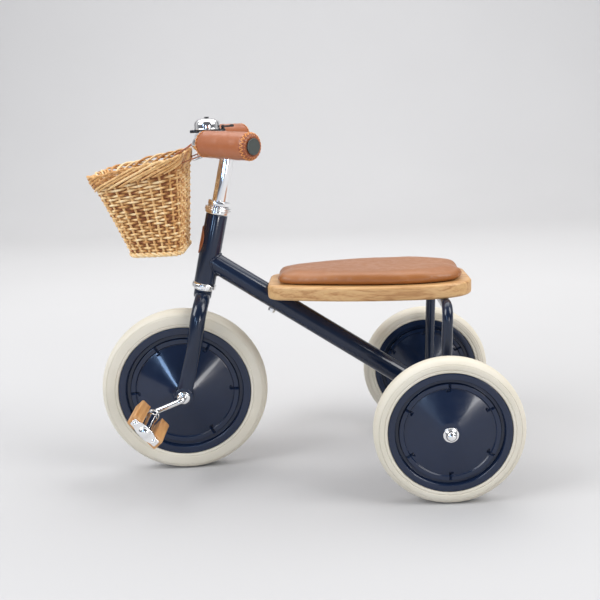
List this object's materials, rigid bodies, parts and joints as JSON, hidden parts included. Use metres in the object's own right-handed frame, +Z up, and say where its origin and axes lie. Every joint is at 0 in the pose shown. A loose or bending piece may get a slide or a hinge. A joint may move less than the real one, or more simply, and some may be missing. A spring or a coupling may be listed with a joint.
{
  "type": "children's tricycle",
  "caption": "Children's pedal tricycle with a navy steel frame and disc wheels, cream solid tyres, an oak and leather seat, a wicker basket, a bell and wooden pedals.",
  "frame": {"origin": "on the ground, under the middle of the overall length", "axes": "+X towards the rear, +Y to the rider's right, +Z up"},
  "size_m": [0.7247, 0.4689, 0.6315],
  "materials": {
    "frame_paint": "gloss navy paint",
    "wheel_paint": "gloss navy enamel on pressed steel",
    "chrome": "polished chrome plate",
    "steel": "plain turned steel",
    "tyre_rubber": "solid cream rubber, matt",
    "cushion_leather": "smooth tan leather, satin",
    "trim_leather": "brown leather, satin",
    "oak": "light oak, satin oil",
    "pedal_wood": "warm beech, satin varnish",
    "wicker": "honey willow wicker, natural",
    "bell_black": "satin black enamel",
    "dark_plastic": "dark grey moulded plastic"
  },
  "bodies": {
    "frame": {"main_frame": "frame_paint", "rear_stay": "frame_paint", "seat_board": "oak", "seat_cushion": "cushion_leather", "seat_bolt": "chrome", "lower_headset_cup": "chrome", "lower_headset_bearing": "steel", "upper_headset_cup": "chrome", "upper_headset_bearing": "steel", "head_badge": "trim_leather", "rear_axle": "steel", "left_axle_washer": "chrome", "right_axle_washer": "chrome", "left_axle_cap_nut": "chrome", "right_axle_cap_nut": "chrome"},
    "steering": {"fork": "frame_paint", "crown_race": "chrome", "adjusting_race": "chrome", "lock_washer": "chrome", "headset_locknut": "chrome", "stem": "chrome", "stem_bolt": "chrome", "handlebar": "chrome", "left_grip": "trim_leather", "right_grip": "trim_leather", "left_bar_plug": "dark_plastic", "right_bar_plug": "dark_plastic", "bell_base": "bell_black", "bell_dome": "chrome", "basket": "wicker", "left_strap": "trim_leather", "right_strap": "trim_leather", "left_axle_bushing": "chrome", "right_axle_bushing": "chrome"},
    "front_wheel": {"front_tyre": "tyre_rubber", "front_left_disc": "wheel_paint", "front_right_disc": "wheel_paint", "front_hub": "dark_plastic", "crank_axle": "chrome"},
    "bell_lever": {"bell_lever": "bell_black"},
    "left_pedal": {"left_pedal_barrel": "chrome", "left_pedal_end_plate": "chrome", "left_pedal_front_block": "pedal_wood", "left_pedal_rear_block": "pedal_wood", "left_pedal_front_screw": "chrome", "left_pedal_rear_screw": "chrome"},
    "rear_left_wheel": {"rear_left_tyre": "tyre_rubber", "rear_left_outer_disc": "wheel_paint", "rear_left_inner_disc": "wheel_paint", "rear_left_hub": "dark_plastic"},
    "right_pedal": {"right_pedal_barrel": "chrome", "right_pedal_end_plate": "chrome", "right_pedal_front_block": "pedal_wood", "right_pedal_rear_block": "pedal_wood", "right_pedal_front_screw": "chrome", "right_pedal_rear_screw": "chrome"},
    "rear_right_wheel": {"rear_right_tyre": "tyre_rubber", "rear_right_outer_disc": "wheel_paint", "rear_right_inner_disc": "wheel_paint", "rear_right_hub": "dark_plastic"}
  },
  "joints": [
    {"name": "steering_turn", "type": "hinge", "parent": "frame", "child": "steering", "pos_m": [-0.15126, 0, 0.40483], "axis": [0.2351, 0, 0.972], "range_deg": [-49.65, 40.35]},
    {"name": "front_wheel_spin", "type": "hinge", "parent": "steering", "child": "front_wheel", "pos_m": [-0.2131, 0, 0.1492], "axis": [-0.0788, 0.9967, 0.0191], "continuous": true},
    {"name": "left_pedal_spin", "type": "hinge", "parent": "front_wheel", "child": "left_pedal", "pos_m": [-0.2582, -0.12345, 0.12768], "axis": [-0.0195, 0.9996, 0.0191], "continuous": true},
    {"name": "right_pedal_spin", "type": "hinge", "parent": "front_wheel", "child": "right_pedal", "pos_m": [-0.168, 0.12345, 0.17072], "axis": [-0.0195, 0.9996, 0.0191], "continuous": true},
    {"name": "rear_left_wheel_spin", "type": "hinge", "parent": "frame", "child": "rear_left_wheel", "pos_m": [0.2399, -0.184, 0.1225], "axis": [0, 1, 0], "continuous": true},
    {"name": "rear_right_wheel_spin", "type": "hinge", "parent": "frame", "child": "rear_right_wheel", "pos_m": [0.2399, 0.184, 0.1225], "axis": [0, 1, 0], "continuous": true},
    {"name": "bell_lever_press", "type": "hinge", "parent": "steering", "child": "bell_lever", "pos_m": [-0.12605, 0.07179, 0.61189], "axis": [0.0008, -0.0191, 0.9998], "range_deg": [-25, 0], "stiffness_Nm_per_rad": 0.05}
  ]
}
